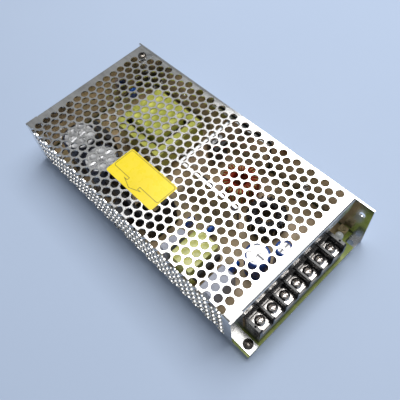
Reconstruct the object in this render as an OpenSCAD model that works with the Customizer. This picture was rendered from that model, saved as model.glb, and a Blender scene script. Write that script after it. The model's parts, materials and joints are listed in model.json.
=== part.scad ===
// Enclosed power supply: a folded aluminium chassis, a folded perforated steel cover,
// a seven-way screw terminal block and the circuit board with its parts.
// X is the width, Y the length with the terminals at -Y, Z up; the origin is the base centre.

/* [Case] */
// length of the chassis
case_l = 199; // [190:1:215]
// width over both side walls
case_w = 99; // [97:1:110]
// height over the cover
case_h = 38; // [37:0.5:45]
// thickness of the aluminium chassis
chassis_t = 1.2; // [1:0.1:1.6]
// thickness of the steel cover
cover_t = 1.0; // [0.8:0.1:1]
// open terminal ledge in front of the cover
ledge = 12; // [11.5:0.5:14]
// length of chassis left behind the cover
back_gap = 1.5; // [1:0.25:3]

/* [Perforation] */
// diameter of each punched hole
vent_d = 5.1; // [4.5:0.1:5.1]
// number of hole columns along the cover, always even
vent_columns = 34; // [30:2:34]
// number of holes across the cover in the fuller columns
vent_rows = 16; // [13:1:16]
// plain margin from the cover's front edge to the first column
vent_front = 8.5; // [8:0.5:12]

/* [Terminal block] */
// number of terminals
ways = 7; // [3:1:7]
// distance from one terminal to the next
way_pitch = 9.6; // [9.4:0.1:9.7]

/* [Board] */
// height of the board's underside above the base
board_z = 3.6; // [3.5:0.1:4.2]
// thickness of the board
board_t = 1.6; // [1.4:0.1:1.8]

/* [Hidden] */
$fn = 48;
e = 0.5;
run_gap = 0.3;
rest_gap = 0.1;
seat = 0.02;
x_left = -case_w / 2;
x_right = case_w / 2;
y_front = -case_l / 2;
y_back = case_l / 2;
wall_in_x = x_right - chassis_t;
cover_front = y_front + ledge;
cover_back = y_back - back_gap;
cover_under = case_h - cover_t;
cover_right = wall_in_x - 0.2;
cover_left_z = 2.6;
end_tab_w = 8.6;
tab_gap = 0.3;
bend_r = cover_t + 0.4;
lip_h = 8;
board_top = board_z + board_t;
board_left = x_left + cover_t + 1.8;
board_right = wall_in_x - 0.7;
board_front = y_front + 0.3;
board_back = cover_back - cover_t - 1;
m3_r = 1.5;
m3_head_r = 3.0;
m3_head_h = 1.9;
board_w = board_right - board_left;
board_l = board_back - board_front;
spacer_xs = [board_left + 3.2, board_right - 3.4];
spacer_ys = [cover_front + 35.5, board_back - 8];
foot_screw = [x_left + 5.3, y_front + 5.0];
base_hole_x = x_right - 10;
base_hole_y = y_back - 39.5;
side_hole_y = y_back - 44.5;
side_hole_z = case_h / 2;
pad_hole = [wall_in_x - 4.1, y_front + 4.2];
board_ledge_l = x_left + 0.4;
board_ledge_r = pad_hole[0] - 3.4;
screw_tab = 10;
wall_hole_y = y_front + 5.5;
wall_hole_z = 28.5;
clear_r = 1.9;

vent_r = vent_d / 2;
bend_take = 1.5;
vent_x0 = x_left + 2.0;
vent_dx = (cover_right - vent_r - 0.5 - vent_x0) / (vent_rows - 1);
vent_dy = (cover_back - cover_front - vent_front - 8.4) / (vent_columns - 1);
vent_y0 = cover_front + vent_front;
cover_screw = [vent_x0 + vent_dx * (vent_rows - 1.5), vent_y0 + vent_dy * (vent_columns - 1) - 1.5];

block_y = y_front + 6.8;
block_front = y_front + 1.7;
cell_front = block_front - 0.6;
block_back = cover_front + 2.2;
block_base_h = 12.2;
block_top = 24.2;
barrier_t = 1.2;
end_barrier_t = 1.9;
plate_t = 0.8;
plate_front = block_y - 4.6;
tongue_w = 4.8;
marker_r = 0.6;
plate_z = board_top + block_base_h + plate_t;
washer_t = 0.9;
washer_w = 7.0;
washer_l = 6.8;
shank_r = 1.75;
head_r = 3.1;
head_h = 2.3;
block_l = x_left + end_tab_w + 1.25;
block_r = block_l + way_pitch * ways + 2 * end_barrier_t - barrier_t;

function way_x(i) = block_l + end_barrier_t + way_pitch * (i + 0.5) - barrier_t / 2;

// a box from its low corner to its high corner
module span(lo, hi) {
    translate(lo)
        cube([hi[0] - lo[0], hi[1] - lo[1], hi[2] - lo[2]]);
}

// a pan-head machine screw standing at the origin, its head above z = 0 with a cross recess
module pan_screw(r, head, h, length) {
    difference() {
        union() {
            translate([0, 0, -length])
                cylinder(r = r, h = length + e);
            rotate_extrude()
                polygon([[0, 0], [head, 0], [head, h * 0.45], [head * 0.72, h * 0.85], [head * 0.35, h],
                    [0, h]]);
        }
        for (a = [0, 90])
            rotate([0, 0, a])
                translate([-head * 0.55, -head * 0.13, h * 0.4])
                    cube([head * 1.1, head * 0.26, h]);
    }
}

// chassis: floor, tall right wall, low left flange and the screw tab, folded from one sheet
module chassis() {
    color([0.80, 0.81, 0.82])
    difference() {
        union() {
            span([x_left + cover_t + rest_gap, y_front + 0.6, 0], [x_right, y_back, chassis_t]);
            span([wall_in_x, y_front, 0], [x_right, y_back, case_h]);
            span([x_left + cover_t + rest_gap, cover_front + 2, 0],
                [x_left + cover_t + rest_gap + chassis_t, cover_back - 2, board_z - 0.2]);
            span([wall_in_x - screw_tab, cover_screw[1] - screw_tab / 2, cover_under - chassis_t],
                [x_right, cover_screw[1] + screw_tab / 2, cover_under]);
        }
        for (x = [-base_hole_x, base_hole_x], y = [-base_hole_y, base_hole_y])
            translate([x, y, -e])
                cylinder(r = m3_r, h = chassis_t + 2 * e);
        for (y = [-side_hole_y, side_hole_y])
            translate([wall_in_x - e, y, side_hole_z])
                rotate([0, 90, 0])
                    cylinder(r = m3_r, h = chassis_t + 2 * e);
        translate([pad_hole[0], pad_hole[1], -e])
            cylinder(r = clear_r, h = chassis_t + 2 * e);
        translate([wall_in_x - e, wall_hole_y, wall_hole_z])
            rotate([0, 90, 0])
                cylinder(r = clear_r, h = chassis_t + 2 * e);
        translate([cover_screw[0], cover_screw[1], cover_under - chassis_t - e])
            cylinder(r = m3_r, h = chassis_t + 2 * e);
        translate([foot_screw[0], foot_screw[1], -e])
            cylinder(r = m3_r, h = chassis_t + 2 * e);
    }
}

// the punched holes of the top, fuller columns first; the cover screw takes the last one's place
module top_vents() {
    for (c = [0 : vent_columns - 1])
        let (short = c % 2, last = vent_rows - 1 - short - (c == vent_columns - 1 ? 1 : 0))
            for (i = [0 : last])
                translate([vent_x0 + (i + short / 2) * vent_dx, vent_y0 + c * vent_dy])
                    circle(r = vent_r);
}

// depth below the top of a hole that the punched pattern carries round the bend
function wall_depth(i) = i * vent_dx - (vent_x0 - x_left) + bend_take;

// the same pattern carried on down the left wall, drawn in (length, height)
module wall_vents() {
    for (c = [0 : vent_columns - 1])
        for (i = [(c % 2) / 2 : 5])
            translate([vent_y0 + c * vent_dy, case_h - wall_depth(i)])
                circle(r = vent_r);
}

// a quarter bend of the cover sheet along +Y, with its outside towards low x and high z
module sheet_bend(length) {
    translate([bend_r, length, -bend_r])
        rotate([90, 0, 0])
            linear_extrude(height = length)
                intersection() {
                    difference() {
                        circle(r = bend_r);
                        circle(r = bend_r - cover_t);
                    }
                    translate([-2 * bend_r, 0])
                        square(2 * bend_r);
                }
}

// cover: perforated top and left wall, plain front lip, back flange and folded end tabs
module cover() {
    foot_top = board_top + cover_t;
    lip_l = x_left + end_tab_w + tab_gap;
    wall_front = cover_front + cover_t + tab_gap;
    wall_back = cover_back - cover_t - tab_gap;
    color([0.72, 0.73, 0.74])
    difference() {
        union() {
            translate([0, 0, cover_under])
                linear_extrude(height = cover_t)
                    difference() {
                        union() {
                            translate([x_left + bend_r, wall_front])
                                square([cover_right - x_left - bend_r, wall_back - wall_front]);
                            translate([lip_l, cover_front + bend_r])
                                square([cover_right - lip_l, cover_back - cover_front - 2 * bend_r]);
                        }
                        top_vents();
                        translate(cover_screw)
                            circle(r = m3_r + 0.1);
                    }
            translate([x_left, 0, 0])
                rotate([90, 0, 90])
                    linear_extrude(height = cover_t)
                        difference() {
                            translate([cover_front, cover_left_z])
                                square([cover_back - cover_front, case_h - bend_r - cover_left_z]);
                            wall_vents();
                        }
            // bend between the top and the left wall, opened by the holes that fall on it
            difference() {
                translate([x_left, wall_front, case_h])
                    sheet_bend(wall_back - wall_front);
                for (c = [0 : vent_columns - 1])
                    translate([c % 2 == 0 ? vent_x0 : x_left + bend_r - 0.1 - vent_r, vent_y0 + c * vent_dy,
                        case_h - bend_r - e])
                        cylinder(r = vent_r, h = bend_r + 2 * e);
            }
            // front: the left wall's full-height tab with its foot, then the lip
            span([x_left, cover_front, board_top], [x_left + end_tab_w, cover_front + cover_t, case_h - 0.4]);
            span([x_left + 1.6, board_front, board_top], [x_left + end_tab_w, cover_front + cover_t, foot_top]);
            translate([cover_right, cover_front, case_h])
                rotate([0, 0, 90])
                    sheet_bend(cover_right - lip_l);
            translate([0, cover_front + cover_t, 0])
                rotate([90, 0, 0])
                    linear_extrude(height = cover_t)
                        polygon([[lip_l, case_h - bend_r], [lip_l, case_h - lip_h],
                            [cover_right - 3, case_h - lip_h], [cover_right, case_h - bend_r]]);
            // back: the left wall's tab, then the flange that closes the end
            span([x_left, cover_back - cover_t, cover_left_z],
                [x_left + end_tab_w, cover_back, case_h - 0.4]);
            translate([lip_l, cover_back, case_h])
                rotate([0, 0, -90])
                    sheet_bend(cover_right - lip_l);
            span([lip_l, cover_back - cover_t, chassis_t + rest_gap],
                [cover_right, cover_back, case_h - bend_r]);
        }
        translate([foot_screw[0], foot_screw[1], board_top - e])
            cylinder(r = m3_r + 0.1, h = cover_t + 2 * e);
    }
}

module cover_screws() {
    color([0.55, 0.55, 0.56]) {
        translate([cover_screw[0], cover_screw[1], case_h])
            pan_screw(m3_r - 0.05, m3_head_r, m3_head_h, 6);
        translate([foot_screw[0], foot_screw[1], board_top + cover_t])
            pan_screw(m3_r - 0.05, m3_head_r, m3_head_h, board_top + cover_t - 0.3);
    }
}

// spacers under the board, one at the foot screw and four inside
module at_spacers() {
    for (x = spacer_xs, y = spacer_ys)
        translate([x, y, 0])
            children();
}

module insulating_sheet() {
    color([0.90, 0.90, 0.88])
    difference() {
        span([board_left + 0.5, cover_front + 4, chassis_t], [board_right - 0.5, board_back - 2, chassis_t + 0.3]);
        at_spacers()
            cylinder(r = 3.4, h = 5);
        for (x = [-base_hole_x, base_hole_x], y = [-base_hole_y, base_hole_y])
            translate([x, y, 0])
                cylinder(r = 3, h = 5);
    }
}

module board_spacers() {
    color([0.78, 0.76, 0.70])
    difference() {
        union() {
            at_spacers()
                translate([0, 0, chassis_t])
                    cylinder(r = 3, h = board_z - chassis_t);
            translate([foot_screw[0], foot_screw[1], chassis_t])
                cylinder(r = 2.6, h = board_z - chassis_t);
        }
        at_spacers()
            cylinder(r = m3_r, h = board_z + e);
        translate([foot_screw[0], foot_screw[1], 0])
            cylinder(r = m3_r, h = board_z + e);
    }
}

module board_screws() {
    color([0.75, 0.75, 0.72])
        at_spacers()
            translate([0, 0, board_top])
                pan_screw(m3_r - 0.05, m3_head_r, m3_head_h, board_top - chassis_t - 0.2);
}

module circuit_board() {
    color([0.55, 0.62, 0.22])
    difference() {
        translate([0, 0, board_z])
            linear_extrude(height = board_t)
                polygon([[board_left, cover_front + 1.5], [board_ledge_l, cover_front - 0.5],
                    [board_ledge_l, board_front], [board_ledge_r, board_front],
                    [board_ledge_r, pad_hole[1] + 2.4], [board_right, pad_hole[1] + 2.4],
                    [board_right, board_back], [board_left, board_back]]);
        at_spacers()
            cylinder(r = m3_r + 0.1, h = 10);
        translate([foot_screw[0], foot_screw[1], 0])
            cylinder(r = m3_r + 0.1, h = 10);
    }
}

// terminal block: base with an overhanging cell floor, back wall and barriers between terminals
module block_barrier(x, width, foot_z) {
    translate([x, 0, 0])
        rotate([90, 0, 90])
            linear_extrude(height = width)
                polygon([[cell_front, foot_z], [cell_front, block_top - 0.8], [cell_front + 0.8, block_top],
                    [block_back, block_top], [block_back, foot_z]]);
}

module terminal_block() {
    base_top = board_top + block_base_h;
    floor_z = base_top - 3.4;
    color([0.06, 0.06, 0.07])
    difference() {
        union() {
            span([block_l, block_front, board_top], [block_r, block_back, base_top]);
            span([block_l, cell_front, floor_z], [block_r, block_back, base_top]);
            span([block_l, block_y + 4.4, base_top], [block_r, block_back, block_top - 1]);
            for (i = [1 : ways - 1])
                block_barrier(way_x(i) - (way_pitch + barrier_t) / 2, barrier_t, floor_z);
            block_barrier(block_l, end_barrier_t, floor_z);
            block_barrier(block_r - end_barrier_t, end_barrier_t, floor_z);
        }
        // a hole in the top of each end barrier takes the marker strip
        for (x = [block_l + end_barrier_t / 2, block_r - end_barrier_t / 2])
            translate([x, block_y - 1.5, block_top - 4])
                cylinder(r = marker_r, h = 4 + e);
        for (i = [0 : ways - 1])
            translate([way_x(i), block_y, board_top + 2])
                cylinder(r = shank_r + run_gap, h = block_base_h);
        // hollow under each terminal for its solder pin
        for (i = [0 : ways - 1])
            span([way_x(i) - 2.5, block_back - 3, board_top - e],
                [way_x(i) + 2.5, block_back - 1, board_top + 8]);
    }
}

module contact_plates() {
    color([0.83, 0.82, 0.78])
    difference() {
        for (i = [0 : ways - 1]) {
            span([way_x(i) - 3.6, block_y - 3.6, plate_z - plate_t], [way_x(i) + 3.6, block_y + 4.2, plate_z]);
            // narrower tongue whose end is turned up under the wire
            span([way_x(i) - tongue_w / 2, plate_front, plate_z - plate_t],
                [way_x(i) + tongue_w / 2, block_y, plate_z]);
            span([way_x(i) - tongue_w / 2, plate_front, plate_z - plate_t],
                [way_x(i) + tongue_w / 2, plate_front + plate_t, plate_z + 0.5]);
        }
        for (i = [0 : ways - 1])
            translate([way_x(i), block_y, plate_z - 5])
                cylinder(r = shank_r + run_gap, h = 10);
    }
}

module clamp_washer(i) {
    color([0.86, 0.85, 0.82])
    translate([way_x(i), block_y, plate_z])
        difference() {
            span([-washer_w / 2, -washer_l / 2, 0], [washer_w / 2, washer_l / 2, washer_t]);
            translate([0, 0, -e])
                cylinder(r = shank_r + run_gap, h = 2 * e + washer_t);
            // serrated underside that grips the wire
            for (x = [-2.6, 2.6])
                translate([x, -washer_l / 2 - e, 0])
                    rotate([0, 45, 0])
                        cube([0.5, washer_l + 2 * e, 0.5]);
        }
}

module terminal_screw(i) {
    color([0.80, 0.79, 0.77])
    translate([way_x(i), block_y, plate_z + washer_t])
        pan_screw(shank_r, head_r, head_h, 8);
}

/* wound and moulded parts on the board; a place is its share of the board's width and length */

function board_at(u, v) = [board_left + u * board_w, board_front + v * board_l];

// stands its children on the board at a place
module on_board(place) {
    translate([place[0], place[1], board_top])
        children();
}

// outline of a rounded rectangle centred on the origin
module rounded(w, l, r) {
    square([w - 2 * r, l], center = true);
    square([w, l - 2 * r], center = true);
    for (sx = [-1, 1], sy = [-1, 1])
        translate([sx * (w / 2 - r), sy * (l / 2 - r)])
            circle(r = r);
}

// transformer: a flat double-E core, the bobbin's winding round its middle leg, taped yokes
trafo = board_at(0.659, 0.732);
core_w = 38;
core_l = 43;
core_h = 13;
core_z = 8;
leg_r = 6;
window_w = 8;
window_l = 33;
tape_t = 0.6;
wound_w = 24;
wound_l = window_l - 5.5;
module transformer_core() {
    color([0.16, 0.15, 0.15])
    on_board(trafo)
        translate([0, 0, core_z])
            linear_extrude(height = core_h)
                difference() {
                    square([core_w, core_l], center = true);
                    for (s = [-1, 1])
                        translate([s * (leg_r + window_w / 2), 0])
                            square([window_w, window_l], center = true);
                }
}

module transformer_winding() {
    color([0.78, 0.80, 0.22])
    on_board(trafo)
        difference() {
            union() {
                translate([0, 0, 1.5])
                    linear_extrude(height = 26.5)
                        rounded(wound_w, wound_l, 3);
                for (s = [-1, 1])
                    span([-13, s * (wound_l / 2 + 1) - 1.5, 0], [13, s * (wound_l / 2 + 1) + 1.5, 4]);
            }
            span([-leg_r - rest_gap, -window_l, core_z], [leg_r + rest_gap, window_l, core_z + core_h + rest_gap]);
        }
}

// tape laid over the core on all sides, open over the windows
module transformer_tape() {
    open_w = 2 * (leg_r + window_w);
    color([0.86, 0.86, 0.30])
    on_board(trafo)
        difference() {
            translate([0, 0, core_z - tape_t])
                linear_extrude(height = core_h + 2 * tape_t)
                    rounded(core_w + 2 * tape_t, core_l + 2 * tape_t, tape_t);
            span([-core_w / 2, -core_l / 2, core_z], [core_w / 2, core_l / 2, core_z + core_h]);
            span([-open_w / 2, -window_l / 2, core_z - 2], [open_w / 2, window_l / 2, core_z + core_h + 2]);
        }
}

// ring core lying flat on the board, lifted by the wire under it; size: outer radius, inner
// radius, height, wire thickness
module ring_core(place, size) {
    on_board(place)
        translate([0, 0, size[3]])
            rotate_extrude()
                translate([size[1], 0])
                    square([size[0] - size[1], size[2]]);
}

// the wire round a ring core, parted into turns by slots on its outside
module ring_winding(place, size, turns) {
    wire = size[3];
    on_board(place)
        difference() {
            rotate_extrude()
                difference() {
                    translate([size[1] - wire, 0])
                        square([size[0] - size[1] + 2 * wire, size[2] + 2 * wire]);
                    translate([size[1] - seat, wire - seat])
                        square([size[0] - size[1] + 2 * seat, size[2] + 2 * seat]);
                }
            for (t = [0 : turns - 1])
                rotate([0, 0, (t + 0.5) * 360 / turns])
                    translate([size[0] * 0.72, -0.35, -e])
                        cube([size[0], 0.7, size[2] * 2]);
        }
}

red_ring = board_at(0.737, 0.382);
red_ring_size = [11, 5.6, 15, 1.6];
module output_choke_core() {
    color([0.55, 0.50, 0.20])
        ring_core(red_ring, red_ring_size);
}
module output_choke_winding() {
    color([0.70, 0.14, 0.12])
        ring_winding(red_ring, red_ring_size, 24);
}

dark_ring = board_at(0.675, 0.243);
dark_ring_size = [11.4, 6.4, 12, 1.4];
module filter_choke_core() {
    color([0.20, 0.20, 0.21])
        ring_core(dark_ring, dark_ring_size);
}
module filter_choke_winding() {
    color([0.32, 0.25, 0.22])
        ring_winding(dark_ring, dark_ring_size, 20);
}

// line filter choke: a square ring core almost hidden by its taped winding
line_choke = board_at(0.168, 0.304);
line_core_z = 6;
line_core_h = 6;
line_leg = 4;
line_w = 20;
line_l = 22;
module line_choke_core() {
    color([0.17, 0.16, 0.16])
    on_board(line_choke)
        translate([0, 0, line_core_z])
            linear_extrude(height = line_core_h)
                difference() {
                    square([line_w, line_l], center = true);
                    square([line_w - 2 * line_leg, line_l - 2 * line_leg], center = true);
                }
}
module line_choke_winding() {
    color([0.80, 0.82, 0.25])
    on_board(line_choke)
        difference() {
            linear_extrude(height = 2 * line_core_z + line_core_h)
                rounded(line_w + 3, line_l - 5, 1.5);
            for (s = [-1, 1])
                translate([s * (line_w - line_leg) / 2, 0, 0])
                    span([-line_leg / 2 - rest_gap, -line_l, line_core_z],
                        [line_leg / 2 + rest_gap, line_l, line_core_z + line_core_h + rest_gap]);
            span([-line_w / 2, line_l / 2 - line_leg - rest_gap, line_core_z],
                [line_w / 2, line_l, line_core_z + line_core_h + rest_gap]);
            span([-line_w / 2, -line_l, line_core_z],
                [line_w / 2, line_leg + rest_gap - line_l / 2, line_core_z + line_core_h + rest_gap]);
        }
}

// sleeved electrolytic can with a crimp near its foot and a recessed top
module can(place, r, h) {
    on_board(place)
        rotate_extrude()
            polygon([[0, 0], [r - 0.6, 0], [r, 0.6], [r, 2], [r - 0.5, 2.6], [r, 3.2], [r, h - 0.8],
                [r - 0.8, h], [r - 1.4, h], [r - 1.5, h - 0.4], [0, h - 0.4]]);
}

bulk_r = 11;
bulk_h = 29;
module bulk_capacitors() {
    color([0.16, 0.16, 0.20]) {
        can(board_at(0.176, 0.848), bulk_r, bulk_h);
        can(board_at(0.163, 0.724), bulk_r, bulk_h);
    }
}

output_r = 7.5;
output_h = 20;
module output_capacitors() {
    color([0.15, 0.30, 0.65]) {
        can(board_at(0.402, 0.161), output_r, output_h);
        can(board_at(0.541, 0.121), output_r * 2 / 3, output_h);
    }
}

film_box = [18, 10, 19];
film_slim = [17, 5.6, 15];
module film_capacitor() {
    color([0.66, 0.68, 0.76]) {
        on_board(board_at(0.124, 0.1855))
            linear_extrude(height = film_box[2])
                rounded(film_box[0], film_box[1], 0.8);
        on_board(board_at(0.136, 0.383))
            linear_extrude(height = film_slim[2])
                rounded(film_slim[0], film_slim[1], 0.8);
    }
}

// radial ceramic discs on two leads
disc_r = 4.5;
disc_t = 3.2;
module disc_capacitors() {
    color([0.15, 0.32, 0.75])
        for (place = [board_at(0.314, 0.408), board_at(0.373, 0.338), board_at(0.792, 0.967), board_at(0.293, 0.203)])
            on_board(place)
                union() {
                    translate([0, disc_t / 2, disc_r + 1.5])
                        rotate([90, 0, 0])
                            cylinder(r = disc_r, h = disc_t);
                    for (s = [-1, 1])
                        translate([s * 2.5, 0, 0])
                            cylinder(r = 0.4, h = 4);
                }
}

// flat in-line bridge on four pins
module bridge_rectifier() {
    color([0.10, 0.10, 0.11])
    on_board(board_at(0.357, 0.867))
        union() {
            translate([0, 0, 2])
                linear_extrude(height = 15)
                    rounded(4.6, 20, 0.5);
            for (i = [-1.5 : 1.5])
                translate([0, i * 5, 0])
                    cylinder(r = 0.6, h = 3);
        }
}

fuse = board_at(0.239, 0.1035);
fuse_r = 2.5;
fuse_l = 20;
fuse_z = 4.2;
module fuse_link() {
    color([0.85, 0.86, 0.80])
    on_board(fuse)
        translate([0, 0, fuse_z])
            rotate([0, 90, 0])
                cylinder(r = fuse_r, h = fuse_l, center = true);
}

// sprung clips open at the top
module fuse_clips() {
    color([0.70, 0.68, 0.60])
        for (s = [-1, 1])
            on_board(fuse + [s * (fuse_l / 2 - 2), 0])
                difference() {
                    span([-2, -fuse_r - 0.8, 0], [2, fuse_r + 0.8, 6.4]);
                    translate([0, 0, fuse_z])
                        rotate([0, 90, 0])
                            cylinder(r = fuse_r, h = 10, center = true);
                    span([-3, -1.6, fuse_z], [3, 1.6, 8]);
                }
}

// bright bent plate: one leg along the case, one across it and one along the right wall
sink = board_at(0.499, 0.5285);
sink_t = 2;
sink_h = 28;
sink_leg = 49;
sink_wall_leg = 53;
sink_wall_front = 30;
sink_across = board_right - sink[0];
module heatsink_bracket() {
    color([0.85, 0.86, 0.87])
    on_board(sink)
        linear_extrude(height = sink_h)
            union() {
                translate([0, sink_t - sink_leg])
                    square([sink_t, sink_leg]);
                square([sink_across, sink_t]);
                translate([sink_across - sink_t, -sink_wall_front])
                    square([sink_t, sink_wall_leg]);
            }
}

// a moulded power device standing with its tab against a plate
module power_device(place, turn) {
    on_board(place)
        rotate([0, 0, turn])
            union() {
                span([-5, 0.5, 5], [5, 4.6, 20]);
                span([-4.8, 0, 5], [4.8, 1, 22]);
                for (i = [-1, 0, 1])
                    span([i * 2.5 - 0.5, 2, 0], [i * 2.5 + 0.5, 2.6, 6]);
            }
}

module output_rectifiers() {
    color([0.09, 0.09, 0.10]) {
        power_device(sink + [sink_t, -16], -90);
        power_device(sink + [sink_across * 0.64, 0], 180);
    }
}

// input range switch: it faces the left wall and is set with a tool through the vents
selector = [board_left + 3.4, board_at(0, 0.5635)[1]];
selector_l = 15;
selector_throw = 3.2;
slot_lo = 10;
slot_hi = 15;
module selector_body() {
    color([0.75, 0.15, 0.12])
    on_board(selector)
        difference() {
            span([-3.4, -selector_l / 2, 0], [3.4, selector_l / 2, slot_hi + 2]);
            span([-4, -4.2, slot_lo], [2, 4.2, slot_hi]);
        }
}
module selector_slider() {
    color([0.95, 0.95, 0.92])
    on_board(selector - [0, selector_throw / 2])
        span([-4.4, -2.2, slot_lo + rest_gap], [1.9, 2.2, slot_hi - run_gap]);
}

// plate beside the selector, its front end bent across the case
side_sink = selector + [4.3, -22];
side_sink_l = 40;
side_sink_w = 20;
module side_heatsink() {
    color([0.12, 0.12, 0.13])
    on_board(side_sink)
        linear_extrude(height = 26)
            union() {
                square([sink_t, side_sink_l]);
                square([side_sink_w, sink_t]);
            }
}

module switching_transistors() {
    color([0.07, 0.07, 0.08])
        for (y = [12, 30])
            power_device(side_sink + [sink_t, y], -90);
}

module controller_chip() {
    color([0.08, 0.08, 0.09])
    on_board(board_at(0.314, 0.534))
        union() {
            span([-3.2, -9.6, 0.6], [3.2, 9.6, 4]);
            for (i = [0 : 6], s = [-1, 1])
                span([s * 3.6 - 0.4, -7.9 + i * 2.54, 0], [s * 3.6 + 0.4, -7.3 + i * 2.54, 2.4]);
        }
}

trimmer = [wall_in_x - 3.7, cover_front - 0.5];
lamp = trimmer - [6.6, 1.6];
lamp_r = 2.5;
module indicator_lamp() {
    color([0.88, 0.92, 0.88])
    on_board(lamp)
        union() {
            cylinder(r = lamp_r + 0.4, h = 1);
            cylinder(r = lamp_r, h = 6.2);
            translate([0, 0, 6.2])
                sphere(r = lamp_r);
        }
}

rotor_r = 1.5;
rotor_z = 1.2;
trimmer_w = 4.4;
trimmer_l = 5;
trimmer_h = 4.2;
module trimmer_body() {
    color([0.70, 0.62, 0.36])
    on_board(trimmer)
        difference() {
            span([-trimmer_w / 2, -trimmer_l / 2, 0], [trimmer_w / 2, trimmer_l / 2, trimmer_h]);
            translate([0, 0, rotor_z])
                cylinder(r = rotor_r + run_gap, h = trimmer_h);
        }
}
module trimmer_rotor() {
    color([0.90, 0.88, 0.80])
    on_board(trimmer)
        difference() {
            translate([0, 0, rotor_z])
                cylinder(r = rotor_r, h = trimmer_h + 0.3 - rotor_z);
            span([-rotor_r * 0.8, -0.3, trimmer_h - 0.5], [rotor_r * 0.8, 0.3, trimmer_h + 1]);
            span([-0.3, -0.3, trimmer_h - 0.5], [0.3, rotor_r * 0.6, trimmer_h + 1]);
        }
}

sticker = board_at(0.232, 0.5575);
module yellow_sticker() {
    color([0.98, 0.88, 0.12])
    translate([sticker[0], sticker[1], case_h])
        linear_extrude(height = 0.12)
            rounded(21, 41.5, 1.5);
}

chassis();
cover();
cover_screws();
insulating_sheet();
board_spacers();
board_screws();
circuit_board();
terminal_block();
contact_plates();
clamp_washer(0);  // clamp_washer_1
clamp_washer(1);  // clamp_washer_2
clamp_washer(2);  // clamp_washer_3
clamp_washer(3);  // clamp_washer_4
clamp_washer(4);  // clamp_washer_5
clamp_washer(5);  // clamp_washer_6
clamp_washer(6);  // clamp_washer_7
terminal_screw(0);  // terminal_screw_1
terminal_screw(1);  // terminal_screw_2
terminal_screw(2);  // terminal_screw_3
terminal_screw(3);  // terminal_screw_4
terminal_screw(4);  // terminal_screw_5
terminal_screw(5);  // terminal_screw_6
terminal_screw(6);  // terminal_screw_7
transformer_core();
transformer_winding();
transformer_tape();
output_choke_core();
output_choke_winding();
filter_choke_core();
filter_choke_winding();
line_choke_core();
line_choke_winding();
bulk_capacitors();
output_capacitors();
film_capacitor();
disc_capacitors();
bridge_rectifier();
fuse_link();
fuse_clips();
heatsink_bracket();
output_rectifiers();
side_heatsink();
switching_transistors();
controller_chip();
indicator_lamp();
trimmer_body();
trimmer_rotor();
selector_body();
selector_slider();
yellow_sticker();
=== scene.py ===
import json
import math
import bmesh
import bpy
import numpy as np
from mathutils import Matrix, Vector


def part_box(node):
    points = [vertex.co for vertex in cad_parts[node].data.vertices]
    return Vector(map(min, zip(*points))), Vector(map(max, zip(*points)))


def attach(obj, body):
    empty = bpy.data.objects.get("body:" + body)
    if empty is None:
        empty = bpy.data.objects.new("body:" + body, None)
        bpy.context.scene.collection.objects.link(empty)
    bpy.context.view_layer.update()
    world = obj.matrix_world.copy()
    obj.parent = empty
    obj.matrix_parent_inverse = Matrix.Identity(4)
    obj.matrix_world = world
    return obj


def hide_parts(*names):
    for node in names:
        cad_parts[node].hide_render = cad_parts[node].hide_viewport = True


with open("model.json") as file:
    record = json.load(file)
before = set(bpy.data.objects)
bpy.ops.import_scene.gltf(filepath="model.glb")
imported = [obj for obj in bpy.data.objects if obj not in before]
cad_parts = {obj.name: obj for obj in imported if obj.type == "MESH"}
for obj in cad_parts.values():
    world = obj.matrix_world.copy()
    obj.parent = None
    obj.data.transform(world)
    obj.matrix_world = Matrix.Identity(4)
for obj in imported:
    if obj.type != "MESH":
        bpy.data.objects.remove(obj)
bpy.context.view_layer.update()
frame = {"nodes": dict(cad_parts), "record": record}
scene = bpy.context.scene
scene.view_settings.view_transform = "Standard"
nodes = frame["nodes"]
TAU = 2 * math.pi

# ---------------------------------------------------------------- camera
# A hand-held view from above the terminal corner, turned a few degrees on its side.
eye = (-0.09442, -0.13894, 0.26692)
eye_right = (0.721265, -0.688312, -0.077483)
eye_up = (0.619452, 0.590933, 0.516795)
eye_back = (-0.309929, -0.420743, 0.852596)
camera_data = bpy.data.cameras.new("camera")
camera_data.sensor_width = 36.0
camera_data.lens = 43.035
camera_data.clip_start = 0.01
camera = bpy.data.objects.new("camera", camera_data)
camera.matrix_world = Matrix([[eye_right[i], eye_up[i], eye_back[i], eye[i]] for i in range(3)]
                             + [[0, 0, 0, 1]])
scene.collection.objects.link(camera)
scene.camera = camera


# ---------------------------------------------------------------- floor and light
# A plain pale sheet under the supply. A wide soft lamp overhead is mirrored by the front of the
# cover, and a dim even sky leaves the far end of the cover grey.
def finish(name, colour, rough=0.5, metal=0.0, coat=0.0, specular=0.5, through=0.0):
    """A material with one Principled shader; returns the material, its node tree and the shader."""
    material = bpy.data.materials.new(name)
    material.use_nodes = True
    tree = material.node_tree
    shader = tree.nodes["Principled BSDF"]
    shader.inputs["Base Color"].default_value = (*colour, 1)
    shader.inputs["Roughness"].default_value = rough
    shader.inputs["Metallic"].default_value = metal
    shader.inputs["Coat Weight"].default_value = coat
    shader.inputs["Specular IOR Level"].default_value = specular
    shader.inputs["Transmission Weight"].default_value = through
    return material, tree, shader


def grain(tree, scale, stretch=(1, 1, 1), detail=3.0):
    """Noise on Object coordinates, drawn out along an axis by a small stretch value there."""
    place = tree.nodes.new("ShaderNodeTexCoord")
    mapping = tree.nodes.new("ShaderNodeMapping")
    mapping.inputs["Scale"].default_value = stretch
    noise = tree.nodes.new("ShaderNodeTexNoise")
    noise.inputs["Scale"].default_value = scale
    noise.inputs["Detail"].default_value = detail
    tree.links.new(place.outputs["Object"], mapping.inputs["Vector"])
    tree.links.new(mapping.outputs["Vector"], noise.inputs["Vector"])
    return noise.outputs["Fac"]


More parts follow.
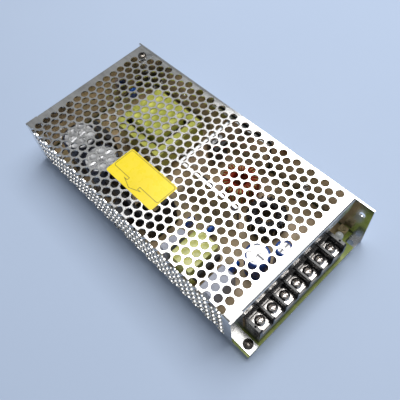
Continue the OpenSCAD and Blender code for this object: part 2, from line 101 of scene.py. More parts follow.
def spread(tree, factor, low, high, start=0.3, end=0.7):
    """Maps a factor between start and end onto the numbers low to high."""
    remap = tree.nodes.new("ShaderNodeMapRange")
    remap.inputs["From Min"].default_value = start
    remap.inputs["From Max"].default_value = end
    remap.inputs["To Min"].default_value = low
    remap.inputs["To Max"].default_value = high
    tree.links.new(factor, remap.inputs["Value"])
    return remap.outputs["Result"]


def tint(tree, factor, stops):
    """Maps a factor onto colours; stops is a list of (position, colour)."""
    ramp = tree.nodes.new("ShaderNodeValToRGB")
    while len(ramp.color_ramp.elements) < len(stops):
        ramp.color_ramp.elements.new(0.5)
    for element, (position, colour) in zip(ramp.color_ramp.elements, stops):
        element.position = position
        element.color = (*colour, 1)
    tree.links.new(factor, ramp.inputs["Fac"])
    return ramp.outputs["Color"]


def relief(tree, shader, height, strength, distance):
    """Joins a height to the shader's normal as a bump of that depth in metres."""
    bump = tree.nodes.new("ShaderNodeBump")
    bump.inputs["Strength"].default_value = strength
    bump.inputs["Distance"].default_value = distance
    tree.links.new(height, bump.inputs["Height"])
    tree.links.new(bump.outputs["Normal"], shader.inputs["Normal"])


def clouded(name, dark, light, rough, scale, depth, stretch=(1, 1, 1), **more):
    """A finish that goes between two tones in clouds, is rougher and smoother along its grain and has
    fine relief. rough is (low, high), scale is (clouds, grain) per metre and depth is in metres."""
    material, tree, shader = finish(name, light, **more)
    tree.links.new(tint(tree, grain(tree, scale[0], detail=5.0), [(0.32, dark), (0.66, light)]),
                   shader.inputs["Base Color"])
    fine = grain(tree, scale[1], stretch, detail=4.0)
    tree.links.new(spread(tree, fine, rough[0], rough[1]), shader.inputs["Roughness"])
    relief(tree, shader, fine, 0.35, depth)
    return material


floor_half = 2.5
floor_mesh = bpy.data.meshes.new("floor")
floor_mesh.from_pydata([(-floor_half, -floor_half, 0), (floor_half, -floor_half, 0),
                        (floor_half, floor_half, 0), (-floor_half, floor_half, 0)], [], [(0, 1, 2, 3)])
floor = bpy.data.objects.new("floor", floor_mesh)
scene.collection.objects.link(floor)
floor_mesh.materials.append(clouded("pale_paper", (0.44, 0.53, 0.69), (0.46, 0.55, 0.71), (0.75, 0.9),
                                    (3, 400), 0.00005, specular=0.2))

world = bpy.data.worlds.new("studio")
world.use_nodes = True
scene.world = world
world.node_tree.nodes["Background"].inputs["Color"].default_value = (0.92, 0.96, 1.0, 1)
world.node_tree.nodes["Background"].inputs["Strength"].default_value = 0.27


def lamp(name, place, aim, size, power):
    """A square soft lamp at place, facing aim."""
    light = bpy.data.lights.new(name, "AREA")
    light.shape = "SQUARE"
    light.size = size
    light.energy = power
    holder = bpy.data.objects.new(name, light)
    back = np.array(place, float) - np.array(aim, float)
    back /= np.linalg.norm(back)
    side = np.cross((0, 1, 0.01), back)
    side /= np.linalg.norm(side)
    up = np.cross(back, side)
    holder.matrix_world = Matrix([[side[i], up[i], back[i], place[i]] for i in range(3)] + [[0, 0, 0, 1]])
    scene.collection.objects.link(holder)


lamp("overhead", (0.34, 0.06, 0.95), (0.10, 0.0, 0.0), 0.80, 10.5)


# ---------------------------------------------------------------- perforated cover
# Top and left wall folded from one bright-plated steel sheet about a millimetre thick, punched all
# over with round vents; its plain front edge is folded down as a lip, and end tabs close the corners.
def dress(node, *materials):
    """Puts materials on a CAD node."""
    mesh = nodes[node].data
    mesh.materials.clear()
    for material in materials:
        mesh.materials.append(material)


def sheet_metal(name, dark, light, rough, along):
    """Rolled and plated sheet: streaks along the rolling direction, cloudy patches that take the gloss
    down, and small handling marks that darken it."""
    material, tree, shader = finish(name, light, metal=1.0)
    streak = grain(tree, 900, along, detail=2.0)
    cloud = grain(tree, 26, detail=5.0)
    blend = tree.nodes.new("ShaderNodeMath")
    blend.operation = "MULTIPLY_ADD"
    blend.inputs[1].default_value = 0.4
    half = tree.nodes.new("ShaderNodeMath")
    half.operation = "MULTIPLY"
    half.inputs[1].default_value = 0.6
    tree.links.new(cloud, half.inputs[0])
    tree.links.new(streak, blend.inputs[0])
    tree.links.new(half.outputs[0], blend.inputs[2])
    tree.links.new(spread(tree, blend.outputs[0], rough[0], rough[1]), shader.inputs["Roughness"])
    marks = grain(tree, 170, detail=6.0)
    tree.links.new(tint(tree, marks, [(0.30, dark), (0.52, light), (1.0, light)]),
                   shader.inputs["Base Color"])
    relief(tree, shader, streak, 0.06, 0.00004)
    return material


dress("cover", sheet_metal("plated_steel", (0.60, 0.59, 0.58), (0.76, 0.755, 0.74), (0.17, 0.30),
                           (1, 0.02, 1)))


# ---------------------------------------------------------------- chassis
# Floor and tall right wall bent from mill-finish aluminium sheet. The inner face is bright enough to
# mirror the board beside it, and every cut edge is broken.
def softened(node, name, materials, width, segments=2, angle=35):
    """A merged copy of a CAD node with its edges rounded to the given width in metres."""
    mesh = nodes[node].data.copy()
    mesh.name = name
    copy = bpy.data.objects.new(name, mesh)
    scene.collection.objects.link(copy)
    work = bmesh.new()
    work.from_mesh(mesh)
    bmesh.ops.remove_doubles(work, verts=work.verts, dist=1e-6)
    bmesh.ops.dissolve_limit(work, angle_limit=math.radians(1.0), verts=work.verts, edges=work.edges)
    work.to_mesh(mesh)
    work.free()
    mesh.materials.clear()
    for material in materials:
        mesh.materials.append(material)
    mesh.polygons.foreach_set("material_index", np.zeros(len(mesh.polygons), np.int32))
    mesh.polygons.foreach_set("use_smooth", np.ones(len(mesh.polygons), bool))
    bevel = copy.modifiers.new("edges", "BEVEL")
    bevel.width = width
    bevel.segments = segments
    bevel.limit_method = "ANGLE"
    bevel.angle_limit = math.radians(angle)
    smooth = copy.modifiers.new("shade", "WEIGHTED_NORMAL")
    smooth.keep_sharp = True
    settle(copy, node)
    return copy


def settle(piece, *replaced):
    """The piece stands for these CAD nodes, on their body; the nodes are hidden."""
    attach(piece, body_of_node[replaced[0]])
    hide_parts(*replaced)


body_of_node = {n: b for b, group in frame["record"]["behaviour"]["bodies"].items() for n in group}
mill = sheet_metal("mill_aluminium", (0.66, 0.67, 0.68), (0.80, 0.81, 0.82), (0.12, 0.26), (1, 0.015, 1))
softened("chassis", "sheet_chassis", [mill], 0.00015)

# ---------------------------------------------------------------- circuit board
# Phenolic laminate: tan on the component side, yellow-green where the mask shows on the open ledge
# and at the cut edges.
laminate, tree, shader = finish("phenolic_board", (0.42, 0.33, 0.18))
tan = tint(tree, grain(tree, 90, detail=6.0), [(0.30, (0.19, 0.15, 0.06)), (0.50, (0.42, 0.30, 0.16)),
                                               (0.72, (0.56, 0.40, 0.24))])
mask = tint(tree, grain(tree, 260, detail=4.0), [(0.3, (0.20, 0.27, 0.03)), (0.7, (0.36, 0.42, 0.08))])
place = tree.nodes.new("ShaderNodeTexCoord")
apart = tree.nodes.new("ShaderNodeSeparateXYZ")
tree.links.new(place.outputs["Object"], apart.inputs["Vector"])
face = tree.nodes.new("ShaderNodeNewGeometry")
tilt = tree.nodes.new("ShaderNodeSeparateXYZ")
tree.links.new(face.outputs["Normal"], tilt.inputs["Vector"])
cover_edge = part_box("cover")[0][1] + 0.012
under_cover = spread(tree, apart.outputs["Y"], 0.0, 1.0, cover_edge, cover_edge + 0.002)
top_side = spread(tree, tilt.outputs["Z"], 0.0, 1.0, 0.4, 0.6)
both = tree.nodes.new("ShaderNodeMath")
both.operation = "MULTIPLY"
tree.links.new(under_cover, both.inputs[0])
tree.links.new(top_side, both.inputs[1])
mix = tree.nodes.new("ShaderNodeMix")
mix.data_type = "RGBA"
tree.links.new(both.outputs[0], mix.inputs["Factor"])
tree.links.new(mask, mix.inputs["A"])
tree.links.new(tan, mix.inputs["B"])
tree.links.new(mix.outputs["Result"], shader.inputs["Base Color"])
tree.links.new(spread(tree, grain(tree, 900), 0.30, 0.50), shader.inputs["Roughness"])
relief(tree, shader, grain(tree, 700, detail=2.0), 0.15, 0.0001)
softened("circuit_board", "laminate_board", [laminate], 0.00012)

# ---------------------------------------------------------------- insulating sheet and spacers
# A white film keeps the soldered side off the chassis; turned brass spacers carry the board on it.
dress("insulating_sheet", clouded("insulating_film", (0.74, 0.73, 0.68), (0.86, 0.85, 0.80), (0.28, 0.42),
                                  (60, 120), 0.0002))
brass = clouded("turned_brass", (0.62, 0.46, 0.20), (0.82, 0.64, 0.33), (0.18, 0.36), (300, 2600), 0.00003,
                (1, 1, 4), metal=1.0)
softened("board_spacers", "brass_spacers", [brass], 0.00015)

# ---------------------------------------------------------------- terminal block, plates and washers
# One glossy black moulding with a barrier between terminals; its edges are slightly rounded and the
# mould has left it finely grained.
moulded = clouded("black_moulding", (0.006, 0.006, 0.007), (0.014, 0.014, 0.016), (0.16, 0.34), (140, 1500),
                  0.00004, specular=0.6)
softened("terminal_block", "terminal_moulding", [moulded], 0.0002, segments=3)

# Nickel-plated plates lie on the moulding and end in a tongue; a square washer clamps each wire.
nickel = clouded("bright_nickel", (0.50, 0.46, 0.43), (0.84, 0.81, 0.78), (0.07, 0.24), (420, 1300), 0.00004,
                 metal=1.0)
softened("contact_plates", "plate_strips", [nickel], 0.00014)
for way in range(1, 8):
    softened(f"clamp_washer_{way}", f"washer_{way}", [nickel], 0.00018)


# ---------------------------------------------------------------- screws
# Pan heads with a cross recess on rolled threads, nickel plated. Terminal screws turn in their
# washers; darker ones hold the cover, and plain ones the board.
def grid(points, close_u=False, close_v=False, caps=False):
    """Corners and faces of a grid of points: quads between neighbouring rows and columns, joined end
    to end along a direction that closes, with a fan to the mean point of each end row if capped."""
    rows, columns = points.shape[:2]
    index = np.arange(rows * columns).reshape(rows, columns)
    if close_u:
        index = np.vstack([index, index[:1]])
    if close_v:
        index = np.hstack([index, index[:, :1]])
    faces = np.stack([index[:-1, :-1], index[:-1, 1:], index[1:, 1:], index[1:, :-1]], -1).reshape(-1, 4)
    corners = points.reshape(-1, 3)
    faces = faces.tolist()
    if caps:
        start, end = len(corners), len(corners) + 1
        corners = np.vstack([corners, points[0].mean(0), points[-1].mean(0)])
        faces += [[start, b, a] for a, b in zip(index[0, :-1].tolist(), index[0, 1:].tolist())]
        faces += [[end, a, b] for a, b in zip(index[-1, :-1].tolist(), index[-1, 1:].tolist())]
    return corners, faces


def piece(name, parts, materials, *replaced, sharp=50):
    """One object from several grids, each (grid, material number or one number for each face), with
    edges sharper than the given angle kept crisp; it stands for the replaced CAD nodes."""
    corners, faces, marks = [], [], []
    for (some_corners, some_faces), mark in parts:
        base = sum(len(c) for c in corners)
        corners.append(some_corners)
        faces += [[i + base for i in face] for face in some_faces]
        marks += [mark] * len(some_faces) if isinstance(mark, int) else list(mark)
    mesh = bpy.data.meshes.new(name)
    mesh.from_pydata(np.vstack(corners).tolist(), [], faces)
    for material in materials:
        mesh.materials.append(material)
    mesh.polygons.foreach_set("material_index", np.array(marks, np.int32))
    mesh.polygons.foreach_set("use_smooth", np.ones(len(faces), bool))
    mesh.set_sharp_from_angle(angle=math.radians(sharp))
    mesh.update()
    made = bpy.data.objects.new(name, mesh)
    scene.collection.objects.link(made)
    settle(made, *replaced)
    return made


def solids(node):
    """(lowest, highest corner) of each separate solid of a CAD node, by passing the lowest corner
    number on between corners that share a triangle until nothing changes."""
    mesh = nodes[node].data
    points = np.empty(len(mesh.vertices) * 3)
    mesh.vertices.foreach_get("co", points)
    mesh.calc_loop_triangles()
    triangles = np.empty(len(mesh.loop_triangles) * 3, np.int64)
    mesh.loop_triangles.foreach_get("vertices", triangles)
    points, same = np.unique(points.reshape(-1, 3).round(7), axis=0, return_inverse=True)
    triangles = same.reshape(-1)[triangles].reshape(-1, 3)
    label = np.arange(len(points))
    while True:
        low = label[triangles].min(1)
        new = label.copy()
        np.minimum.at(new, triangles.reshape(-1), np.repeat(low, 3))
        if (new == label).all():
            break
        label = new
    return [(points[label == k].min(0), points[label == k].max(0)) for k in np.unique(label)]


def screw_points(seat, radius, height, shank, length, pitch):
    """Rows of points from the shank's tip up to the middle of the head. The shank's radius follows a
    triangle wave of its height less its turn, the thread; the head is a flattened dome lowered by a
    cross recess: four arms where |x| or |y| is small, deepest in the middle."""
    turn = np.linspace(0, TAU, 48, endpoint=False)
    z = np.linspace(-length, -0.0001, int(length / pitch * 6))
    phase = (z[:, None] / pitch - turn[None, :] / TAU) % 1.0
    thread = shank - 0.12 * pitch - 0.45 * pitch * np.abs(2 * phase - 1)
    r = np.vstack([np.minimum(thread, shank), np.full((1, 48), radius * 0.97), np.full((1, 48), radius)])
    zz = np.vstack([np.repeat(z[:, None], 48, 1), np.zeros((1, 48)), np.full((1, 48), height * 0.12)])
    ring = radius * np.cos(np.linspace(0, math.pi / 2, 26)[1:-1])[:, None] * np.ones((1, 48))
    dome = height * (0.12 + 0.88 * np.sqrt(1 - (ring / radius) ** 2) ** 0.8)
    x, y = ring * np.cos(turn), ring * np.sin(turn)
    arm, reach = radius * 0.14, radius * 0.62
    near = np.minimum(np.abs(x), np.abs(y))
    far = np.maximum(np.abs(x), np.abs(y))
    inside = np.clip((arm - near) / (arm * 0.4), 0, 1) * np.clip((reach - far) / (reach * 0.2), 0, 1)
    r = np.vstack([r, ring])
    zz = np.vstack([zz, dome - inside * height * 0.66])
    return np.stack([seat[0] + r * np.cos(turn), seat[1] + r * np.sin(turn), seat[2] + zz], -1)


def screws(name, node, head_height, shank, pitch, material):
    """One piece for all the screws of a CAD node, each in its solid's place."""
    parts = []
    for low, high in solids(node):
        seat = ((low[0] + high[0]) / 2, (low[1] + high[1]) / 2, high[2] - head_height)
        points = screw_points(seat, (high[0] - low[0]) / 2, head_height, shank,
                              seat[2] - low[2] - 0.0001, pitch)
        parts.append((grid(points, close_v=True, caps=True), 0))
    piece(name, parts, [material], node, sharp=35)


screw_nickel = clouded("screw_nickel", (0.40, 0.36, 0.34), (0.80, 0.77, 0.74), (0.10, 0.28), (600, 1500),
                       0.00003, metal=1.0)
for way in range(1, 8):
    screws(f"binding_screw_{way}", f"terminal_screw_{way}", 0.0023, 0.00175, 0.0006, screw_nickel)
screws("board_screw_set", "board_screws", 0.0019, 0.00145, 0.0005, screw_nickel)
case_steel = clouded("case_screw_steel", (0.10, 0.09, 0.08), (0.30, 0.27, 0.24), (0.18, 0.36), (500, 1500),
                     0.00004, metal=1.0)
screws("case_screw_set", "cover_screws", 0.0019, 0.00145, 0.0005, case_steel)

# ---------------------------------------------------------------- transformer
# Black sintered core halves round a bobbin wound with wire, closed with yellow polyester tape; more
# tape holds the halves together. The wire's turns show faintly through the tape.
ferrite = clouded("sintered_ferrite", (0.014, 0.013, 0.013), (0.038, 0.036, 0.034), (0.42, 0.66), (200, 2200),
                  0.00012)
softened("transformer_core", "ferrite_halves", [ferrite], 0.0003)
tape = clouded("polyester_tape", (0.40, 0.42, 0.05), (0.72, 0.72, 0.16), (0.16, 0.34), (85, 420), 0.00022,
               (1, 1, 5), coat=0.5)
softened("transformer_winding", "taped_bobbin", [tape], 0.0006, segments=3)
softened("transformer_tape", "core_tape", [tape], 0.0002)


# ---------------------------------------------------------------- output choke
# Enamelled copper wire wound by hand round a coated powder ring that lies flat on the board.
def tube(path, radius, sides=7, closed=False, across=None):
    """Rings of points round a path: at each point two directions square to its tangent, the first
    nearest to across, carry a circle of the radius."""
    tangent = np.roll(path, -1, 0) - np.roll(path, 1, 0)
    if not closed:
        tangent[0], tangent[-1] = path[1] - path[0], path[-1] - path[-2]
    tangent /= np.linalg.norm(tangent, axis=1, keepdims=True)
    first = across - (across * tangent).sum(1, keepdims=True) * tangent
    first /= np.linalg.norm(first, axis=1, keepdims=True)
    second = np.cross(tangent, first)
    turn = -np.linspace(0, TAU, sides, endpoint=False)[None, :, None]
    return path[:, None] + radius * (np.cos(turn) * first[:, None] + np.sin(turn) * second[:, None])


def wound_ring(core, winding, turns, wire):
    """Points of one closed wire round a ring core. While the angle about the ring's axis goes round
    once, the wire's place goes turns times round a rounded rectangle just outside the core's section."""
    low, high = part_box(core)
    mesh = nodes[core].data
    points = np.empty(len(mesh.vertices) * 3)
    mesh.vertices.foreach_get("co", points)
    middle = np.array([(low[0] + high[0]) / 2, (low[1] + high[1]) / 2, (low[2] + high[2]) / 2])
    outer = (high[0] - low[0]) / 2
    inner = np.hypot(*(points.reshape(-1, 3)[:, :2] - middle[:2]).T).min()
    s = np.linspace(0, turns, turns * 28, endpoint=False)
    about, place = TAU * s / turns, TAU * s
    half_wide = (outer - inner + wire) / 2 + 0.00005
    half_tall = (high[2] - low[2] + wire) / 2 + 0.00005
    radial = (outer + inner) / 2 + half_wide * np.sign(np.cos(place)) * np.abs(np.cos(place)) ** 0.42
    height = half_tall * np.sign(np.sin(place)) * np.abs(np.sin(place)) ** 0.42
    outward = np.stack([np.cos(about), np.sin(about), 0 * about], -1)
    path = middle + radial[:, None] * outward + height[:, None] * np.array([0, 0, 1.0])
    away = np.cos(place)[:, None] * outward + np.sin(place)[:, None] * np.array([0, 0, 1.0])
    return tube(path, wire / 2, sides=7, closed=True, across=away)


powder = clouded("coated_powder_ring", (0.20, 0.16, 0.03), (0.50, 0.42, 0.10), (0.35, 0.55), (240, 1400),
                 0.0001)
softened("output_choke_core", "powder_ring", [powder], 0.0006, segments=3)
red_wire = clouded("red_enamel", (0.26, 0.012, 0.008), (0.60, 0.07, 0.03), (0.10, 0.24), (300, 900), 0.00003,
                   metal=0.25, coat=0.8)
piece("red_wire_turns", [(grid(wound_ring("output_choke_core", "output_choke_winding", 30, 0.00105),
                               close_u=True, close_v=True), 0)], [red_wire], "output_choke_winding")

# ---------------------------------------------------------------- filter choke
# A larger black ring wound with dark glossy wire; light runs along the turns as bright lines.
softened("filter_choke_core", "black_ring", [ferrite], 0.0006, segments=3)
dark_wire = clouded("dark_enamel", (0.012, 0.011, 0.012), (0.07, 0.06, 0.06), (0.06, 0.16), (260, 900),
                    0.00003, metal=0.4, coat=1.0)
piece("dark_wire_turns", [(grid(wound_ring("filter_choke_core", "filter_choke_winding", 27, 0.00128),
                                close_u=True, close_v=True), 0)], [dark_wire], "filter_choke_winding")

# ---------------------------------------------------------------- line filter choke
# A square ferrite ring whose windings are wrapped in the same yellow tape.
softened("line_choke_core", "square_ring", [ferrite], 0.0004)
softened("line_choke_winding", "taped_windings", [tape], 0.0005, segments=3)


# ---------------------------------------------------------------- electrolytic capacitors
# Aluminium cans in a shrunk sleeve that is rolled over the rim. The bare top is scored with a cross
# so that it vents there, and a bead is pressed in near the foot.
def can_grid(low, high):
    """A turned outline from the foot over the bead and the rim, then rings over the top that dip where
    |x| or |y| is small, the score. Returns the grid and a number for each face: 0 sleeve, 1 top."""
    r, h = (high[0] - low[0]) / 2, high[2] - low[2]
    mm = 0.001
    outline = np.array([(r - 0.6 * mm, 0), (r - 0.15 * mm, 0.15 * mm), (r, 0.6 * mm), (r, 1.8 * mm),
                        (r - 0.45 * mm, 2.5 * mm), (r, 3.2 * mm), (r, h - 0.9 * mm),
                        (r - 0.2 * mm, h - 0.3 * mm),
                        (r - 0.7 * mm, h), (r - 1.35 * mm, h), (r - 1.45 * mm, h - 0.25 * mm)])
    sides, rings, rim = 64, 18, len(outline)
    turn = np.linspace(0, TAU, sides, endpoint=False)
    all_round = np.ones((1, sides))
    ring = np.concatenate([outline[:, 0], np.linspace(r - 1.5 * mm, 0.05 * r, rings)])[:, None] * all_round
    rise = np.concatenate([outline[:, 1], np.full(rings, h - 0.4 * mm)])[:, None] * all_round
    x, y = ring * np.cos(turn), ring * np.sin(turn)
    near, far = np.minimum(np.abs(x), np.abs(y)), np.maximum(np.abs(x), np.abs(y))
    score = np.clip(1 - near / (0.45 * mm), 0, 1) * np.clip((0.72 * r - far) / (0.05 * r), 0, 1)
    rise[rim:] -= 0.3 * mm * score[rim:]
    middle = (low + high) / 2
    points = np.stack([middle[0] + x, middle[1] + y, low[2] + rise], -1)
    made = grid(points, close_v=True, caps=True)
    marks = [0] * ((rim - 1) * sides) + [1] * (rings * sides) + [0] * sides + [1] * sides
    return made, marks


can_top = clouded("can_aluminium", (0.50, 0.50, 0.51), (0.74, 0.74, 0.75), (0.28, 0.44), (160, 1800), 0.00003,
                  metal=0.85)
for name, node, sleeve in (
        ("bulk_cans", "bulk_capacitors",
         clouded("dark_sleeve", (0.010, 0.011, 0.02), (0.028, 0.03, 0.05), (0.16, 0.30), (120, 900),
                 0.00004)),
        ("output_cans", "output_capacitors",
         clouded("blue_sleeve", (0.010, 0.04, 0.22), (0.03, 0.12, 0.48), (0.16, 0.30), (160, 900), 0.00004))):
    piece(name, [can_grid(low, high) for low, high in solids(node)], [sleeve, can_top], node)

# ---------------------------------------------------------------- film capacitors
# Grey moulded boxes with soft edges, filled with resin from below.
grey_case = clouded("grey_moulding", (0.36, 0.38, 0.47), (0.54, 0.56, 0.66), (0.26, 0.42), (110, 1500),
                    0.00005)
softened("film_capacitor", "film_boxes", [grey_case], 0.0005, segments=3)


# ---------------------------------------------------------------- disc capacitors
# Ceramic discs dipped in blue resin, fuller in the middle than at the rim, on two tinned leads.
def disc_parts(low, high):
    """A dipped disc turned about Y, whose radius falls as a rounded power of its thickness, and two leads
    that rise from the board and lean into it."""
    middle = (low + high) / 2
    r = (high[0] - low[0]) / 2
    half = (high[1] - low[1]) / 2
    lift = high[2] - r
    swing = np.linspace(-1.5, 1.5, 15)[:, None]
    turn = np.linspace(0, TAU, 40, endpoint=False)[None, :]
    radius = r * np.cos(swing) ** 0.45
    body = np.stack([middle[0] + radius * np.cos(turn), middle[1] + half * np.sin(swing) + 0 * turn,
                     lift - radius * np.sin(turn)], -1)
    parts = [(grid(body, close_v=True, caps=True), 0)]
    for side in (-1, 1):
        t = np.linspace(0, 1, 8)
        path = np.stack([middle[0] + side * (0.0025 - 0.0006 * t ** 2), 0 * t + middle[1],
                         low[2] + t * (lift - r * 0.6 - low[2])], -1)
        lead = tube(path, 0.0003, 8, across=np.array([[0, 1.0, 0]]))
        parts.append((grid(lead, close_v=True, caps=True), 1))
    return parts


tinned = clouded("tinned_wire", (0.55, 0.55, 0.56), (0.78, 0.78, 0.79), (0.18, 0.34), (500, 2400),
                 0.00003, metal=1.0)
blue_resin = clouded("blue_resin", (0.008, 0.06, 0.36), (0.02, 0.14, 0.62), (0.12, 0.26), (260, 900), 0.00008,
                     coat=0.4)
piece("resin_discs", [part for low, high in solids("disc_capacitors") for part in disc_parts(low, high)],
      [blue_resin, tinned], "disc_capacitors")

# ---------------------------------------------------------------- power devices and controller
# Black epoxy bodies moulded round a tinned frame, whose legs stand in the board; the devices' metal
# tabs rise above the epoxy.
epoxy = clouded("device_epoxy", (0.010, 0.010, 0.011), (0.030, 0.030, 0.032), (0.34, 0.52), (220, 2000),
                0.00006)
board_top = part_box("circuit_board")[1][2]


def packaged(node, name, body_low, body_high, half_wide=1.0):
    """A softened device whose faces outside the body's heights above the board, or further than
    half_wide from its middle in X, are tinned."""
    made = softened(node, name, [epoxy, tinned], 0.00015)
    mesh = made.data
    centres = np.empty(len(mesh.polygons) * 3)
    mesh.polygons.foreach_get("center", centres)
    centres = centres.reshape(-1, 3)
    low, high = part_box(node)
    z = centres[:, 2] - board_top
    off = np.abs(centres[:, 0] - (low[0] + high[0]) / 2)
    mesh.polygons.foreach_set("material_index",
                              ((z < body_low) | (z > body_high) | (off > half_wide)).astype(np.int32))


packaged("bridge_rectifier", "bridge_device", 0.0019, 0.1)
packaged("output_rectifiers", "rectifier_devices", 0.0049, 0.0202)
packaged("switching_transistors", "transistor_devices", 0.0049, 0.0202)
packaged("controller_chip", "controller_device", 0.0005, 0.1, 0.0033)

# ---------------------------------------------------------------- fuse
# A glass tube with a nickel cap at each end, held by sprung tinned clips.
low, high = (np.array(corner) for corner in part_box("fuse_link"))
turn = np.linspace(0, TAU, 32, endpoint=False)
fuse_r, fuse_half, cap_l = (high[2] - low[2]) / 2, (high[0] - low[0]) / 2, 0.0055
outline = np.array([(-fuse_half, fuse_r * 0.8), (-fuse_half + 0.0003, fuse_r), (-fuse_half + cap_l, fuse_r),
                    (-fuse_half + cap_l, fuse_r * 0.9), (fuse_half - cap_l, fuse_r * 0.9),
                    (fuse_half - cap_l, fuse_r), (fuse_half - 0.0003, fuse_r), (fuse_half, fuse_r * 0.8)])
middle = (low + high) / 2
points = np.stack([middle[0] + outline[:, :1] + 0 * turn, middle[1] + outline[:, 1:] * np.cos(turn),
                   middle[2] + outline[:, 1:] * np.sin(turn)], -1)
glass = clouded("fuse_glass", (0.70, 0.74, 0.70), (0.86, 0.90, 0.86), (0.03, 0.10), (120, 500), 0.00002,
                through=0.8)
piece("fuse_tube", [(grid(points, close_v=True, caps=True),
                     [0] * 96 + [1] * 32 + [0] * (96 + 64))], [nickel, glass], "fuse_link")
softened("fuse_clips", "spring_clips", [tinned], 0.0002)

# ---------------------------------------------------------------- heatsinks
# Bright bent aluminium carries the output devices; a black anodised plate carries the switches.
bright = sheet_metal("bright_aluminium", (0.72, 0.73, 0.74), (0.88, 0.89, 0.90), (0.16, 0.32), (1, 1, 0.03))
softened("heatsink_bracket", "bent_bracket", [bright], 0.00025)
anodised = clouded("black_anodised", (0.012, 0.012, 0.013), (0.030, 0.030, 0.033), (0.30, 0.46), (150, 1700),
                   0.00005, (1, 1, 0.05), metal=0.6)
softened("side_heatsink", "anodised_plate", [anodised], 0.00025)

# ---------------------------------------------------------------- indicator lamp
# A clear-white epoxy lamp with a domed end and a flange at its foot.
low, high = (np.array(corner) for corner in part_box("indicator_lamp"))
lamp_r, flange_r = 0.0025, (high[0] - low[0]) / 2
arc = np.linspace(0, 1.5, 14)
outline = np.vstack([[(flange_r - 0.0001, 0), (flange_r, 0.0001), (flange_r, 0.0009),
                      (flange_r - 0.0001, 0.001), (lamp_r, 0.00105),
                      (lamp_r, high[2] - low[2] - lamp_r - 0.0001)],
                     np.stack([lamp_r * np.cos(arc), high[2] - low[2] - lamp_r + lamp_r * np.sin(arc)], -1)])
turn = np.linspace(0, TAU, 48, endpoint=False)
middle = (low + high) / 2
points = np.stack([middle[0] + outline[:, :1] * np.cos(turn), middle[1] + outline[:, :1] * np.sin(turn),
                   low[2] + outline[:, 1:] + 0 * turn], -1)
lens = clouded("milky_epoxy", (0.72, 0.76, 0.74), (0.88, 0.90, 0.89), (0.08, 0.18), (240, 700), 0.00004,
               through=0.25, coat=0.3)
piece("lamp_dome", [(grid(points, close_v=True, caps=True), 0)], [lens], "indicator_lamp")

# ---------------------------------------------------------------- trimmer
# A small tan moulding with a round adjuster in its top, set with a screwdriver from the front.
amber = clouded("trimmer_moulding", (0.34, 0.25, 0.10), (0.56, 0.44, 0.24), (0.28, 0.44), (300, 1500),
                0.00005)
softened("trimmer_body", "trimmer_case", [amber], 0.0002)
adjuster = clouded("adjuster_brass", (0.30, 0.24, 0.12), (0.55, 0.46, 0.26), (0.24, 0.40), (400, 1800),
                   0.00003, metal=0.5)
softened("trimmer_rotor", "trimmer_adjuster", [adjuster], 0.0001)

# ---------------------------------------------------------------- range selector
# A black slide switch behind the left wall; its pale slider is moved with a tool through the vents.
switch_case = clouded("switch_moulding", (0.010, 0.010, 0.012), (0.028, 0.028, 0.030), (0.26, 0.42),
                      (240, 1500), 0.00005)
softened("selector_body", "switch_case", [switch_case], 0.0003)
ivory = clouded("ivory_moulding", (0.62, 0.60, 0.52), (0.80, 0.78, 0.70), (0.28, 0.42), (260, 1500), 0.00005)
softened("selector_slider", "switch_slider", [ivory], 0.0002)


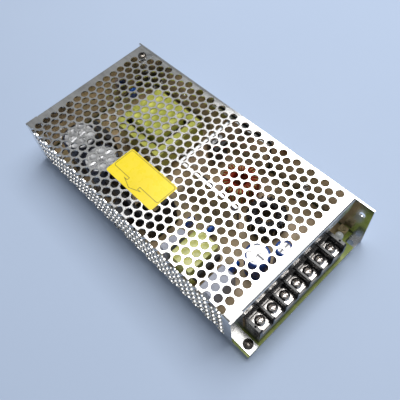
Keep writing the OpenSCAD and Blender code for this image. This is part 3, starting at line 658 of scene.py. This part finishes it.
# ---------------------------------------------------------------- yellow sticker
# Glossy plastic film stuck on the cover, printed with a plain dark frame whose edge runs out to the
# left as an outline arrow, pointing at the selector behind the wall.
def ribbon(outline, width, bottom, top):
    """A thin closed band along a closed outline: each corner moved in and out by half the width along
    the mean of its two edges' normals, lengthened at sharp corners, between two heights."""
    edge = np.roll(outline, -1, 0) - outline
    edge /= np.linalg.norm(edge, axis=1, keepdims=True)
    normal = np.stack([edge[:, 1], -edge[:, 0]], -1)
    mean = normal + np.roll(normal, 1, 0)
    mean /= (mean * normal).sum(1, keepdims=True)
    out, inner = outline + mean * width / 2, outline - mean * width / 2
    rise = [(inner, bottom), (out, bottom), (out, top), (inner, top)]
    points = np.stack([np.column_stack([flat, np.full(len(flat), z)]) for flat, z in rise], 1)
    return grid(points, close_u=True, close_v=True)


film = clouded("yellow_film", (0.86, 0.66, 0.012), (0.98, 0.77, 0.02), (0.22, 0.36), (40, 260), 0.00006,
               coat=0.2)
softened("yellow_sticker", "sticker_film", [film], 0.00004)
low, high = (np.array(corner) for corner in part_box("yellow_sticker"))
left, right = high[0] - 0.0151, high[0] - 0.0009
front, back = low[1] + 0.0009, high[1] - 0.0009
quarter = np.linspace(0, math.pi / 2, 7)
round_r = 0.0014


def rounded_corner(x, y, spin):
    """Points of a quarter circle inside the frame's corner (x, y), starting spin quarters round."""
    cx = x + (round_r if spin in (1, 2) else -round_r)
    cy = y + (round_r if spin in (2, 3) else -round_r)
    return [(cx + round_r * math.cos(a + spin * math.pi / 2), cy + round_r * math.sin(a + spin * math.pi / 2))
            for a in quarter]


arrow_y = (low[1] + high[1]) / 2 + 0.0005
shaft_half, head_half, shaft_l, arrow_l = 0.0048, 0.0072, 0.0018, 0.0046
arrow_line = [(left, arrow_y + shaft_half), (left - shaft_l, arrow_y + shaft_half),
              (left - shaft_l, arrow_y + head_half), (left - arrow_l, arrow_y),
              (left - shaft_l, arrow_y - head_half), (left - shaft_l, arrow_y - shaft_half),
              (left, arrow_y - shaft_half)]
frame_line = (rounded_corner(right, back, 0) + rounded_corner(left, back, 1) + arrow_line
              + rounded_corner(left, front, 2) + rounded_corner(right, front, 3))
ink = clouded("sticker_ink", (0.06, 0.045, 0.008), (0.16, 0.12, 0.02), (0.3, 0.4), (300, 900), 0.00001)
band = bpy.data.meshes.new("sticker_line")
corners, faces = ribbon(np.array(frame_line), 0.00034, high[2] - 0.00003, high[2] + 0.00001)
band.from_pydata(corners.tolist(), [], faces)
band.materials.append(ink)
sticker_line = bpy.data.objects.new("sticker_line", band)
scene.collection.objects.link(sticker_line)
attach(sticker_line, "case")
